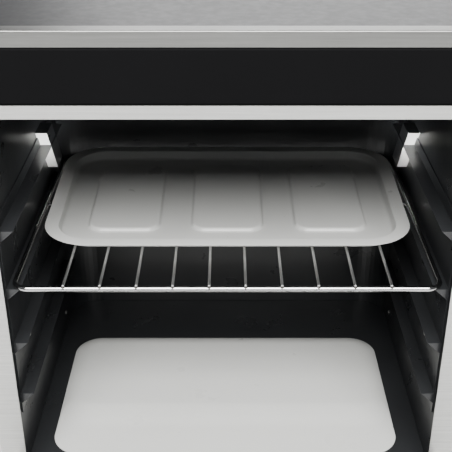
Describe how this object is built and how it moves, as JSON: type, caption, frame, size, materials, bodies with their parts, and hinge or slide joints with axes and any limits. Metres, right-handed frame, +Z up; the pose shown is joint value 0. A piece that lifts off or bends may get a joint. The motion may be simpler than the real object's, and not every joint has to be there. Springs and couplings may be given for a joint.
{
  "type": "countertop mini oven",
  "caption": "Countertop mini oven with drop-down glass door, wire rack, baking tray, crumb tray drawer and control column with turning knobs.",
  "frame": {"origin": "on the table, at the middle of the footprint of the whole oven with its door open", "axes": "+Z up, +Y from the open door to the back panel, +X to the user's right when facing the door"},
  "size_m": [0.485, 0.661, 0.4413],
  "materials": {
    "black_enamel": "glossy black vitreous enamel",
    "grey_enamel": "satin light grey enamel",
    "brushed_steel": "brushed",
    "black_paint": "satin black paint",
    "chrome": "polished chrome plate",
    "galvanised_sheet": "bare galvanised sheet",
    "element_sheath": "heat-darkened steel sheath",
    "porcelain": "unglazed porcelain",
    "black_plastic": "fine matt phenolic",
    "grey_nylon": "matt",
    "foot_rubber": "matt",
    "amber_lens": "clear amber",
    "smoked_glass": "tempered, lightly smoked",
    "zinc_steel": "zinc plated"
  },
  "bodies": {
    "oven_body": {"outer_casing": "black_paint", "base_pan": "galvanised_sheet", "rear_panel": "galvanised_sheet", "cord_gland": "black_plastic", "front_left_foot": "foot_rubber", "front_right_foot": "foot_rubber", "rear_left_foot": "foot_rubber", "rear_right_foot": "foot_rubber", "front_frame": "brushed_steel", "fascia_band": "black_paint", "top_trim": "brushed_steel", "control_panel": "black_paint", "indicator_lens": "amber_lens", "cavity_walls": "black_enamel", "cavity_floor": "black_enamel", "cavity_roof": "black_enamel", "left_rail_plate": "black_enamel", "right_rail_plate": "black_enamel", "upper_front_element": "element_sheath", "upper_rear_element": "element_sheath", "lower_front_element": "element_sheath", "lower_rear_element": "element_sheath", "front_left_bush": "porcelain", "front_right_bush": "porcelain", "rear_left_bush": "porcelain", "rear_right_bush": "porcelain", "left_element_holder": "galvanised_sheet", "right_element_holder": "galvanised_sheet", "heat_reflector": "galvanised_sheet", "heat_shield": "galvanised_sheet", "control_bracket": "galvanised_sheet", "thermostat": "zinc_steel", "function_switch": "grey_nylon", "bell_timer": "zinc_steel", "thermal_cutout": "zinc_steel", "terminal_block": "grey_nylon", "left_hinge_bracket": "zinc_steel", "right_hinge_bracket": "zinc_steel"},
    "door": {"door_outer_frame": "black_paint", "door_inner_frame": "black_enamel", "door_glass": "smoked_glass", "door_handle": "brushed_steel", "left_handle_post": "brushed_steel", "right_handle_post": "brushed_steel", "left_handle_screw": "zinc_steel", "right_handle_screw": "zinc_steel", "left_hinge_pin": "zinc_steel", "right_hinge_pin": "zinc_steel"},
    "rack": {"wire_rack": "chrome"},
    "tray": {"baking_tray": "grey_enamel"},
    "crumb_drawer": {"crumb_tray": "grey_enamel"},
    "temperature_control": {"temperature_knob": "black_plastic", "temperature_shaft": "zinc_steel"},
    "function_control": {"function_knob": "black_plastic", "function_shaft": "zinc_steel"},
    "timer_control": {"timer_knob": "black_plastic", "timer_shaft": "zinc_steel"}
  },
  "joints": [
    {"name": "door_hinge", "type": "hinge", "parent": "oven_body", "child": "door", "pos_m": [-0.045, 0.00975, 0.044], "axis": [1, 0, 0], "range_deg": [-90, 0]},
    {"name": "rack_slide", "type": "slide", "parent": "oven_body", "child": "rack", "axis": [0, -1, 0], "range_m": [0, 0.15]},
    {"name": "tray_slide", "type": "slide", "parent": "rack", "child": "tray", "axis": [0, -1, 0], "range_m": [0, 0.12]},
    {"name": "crumb_tray_slide", "type": "slide", "parent": "oven_body", "child": "crumb_drawer", "axis": [0, -1, 0], "range_m": [0, 0.16]},
    {"name": "temperature_turn", "type": "hinge", "parent": "oven_body", "child": "temperature_control", "pos_m": [0.19515, 0.02125, 0.3505], "axis": [0, 1, 0], "range_deg": [0, 270]},
    {"name": "function_turn", "type": "hinge", "parent": "oven_body", "child": "function_control", "pos_m": [0.19515, 0.02125, 0.2455], "axis": [0, 1, 0], "range_deg": [0, 180]},
    {"name": "timer_turn", "type": "hinge", "parent": "oven_body", "child": "timer_control", "pos_m": [0.19515, 0.02125, 0.1405], "axis": [0, 1, 0], "range_deg": [0, 300]}
  ]
}
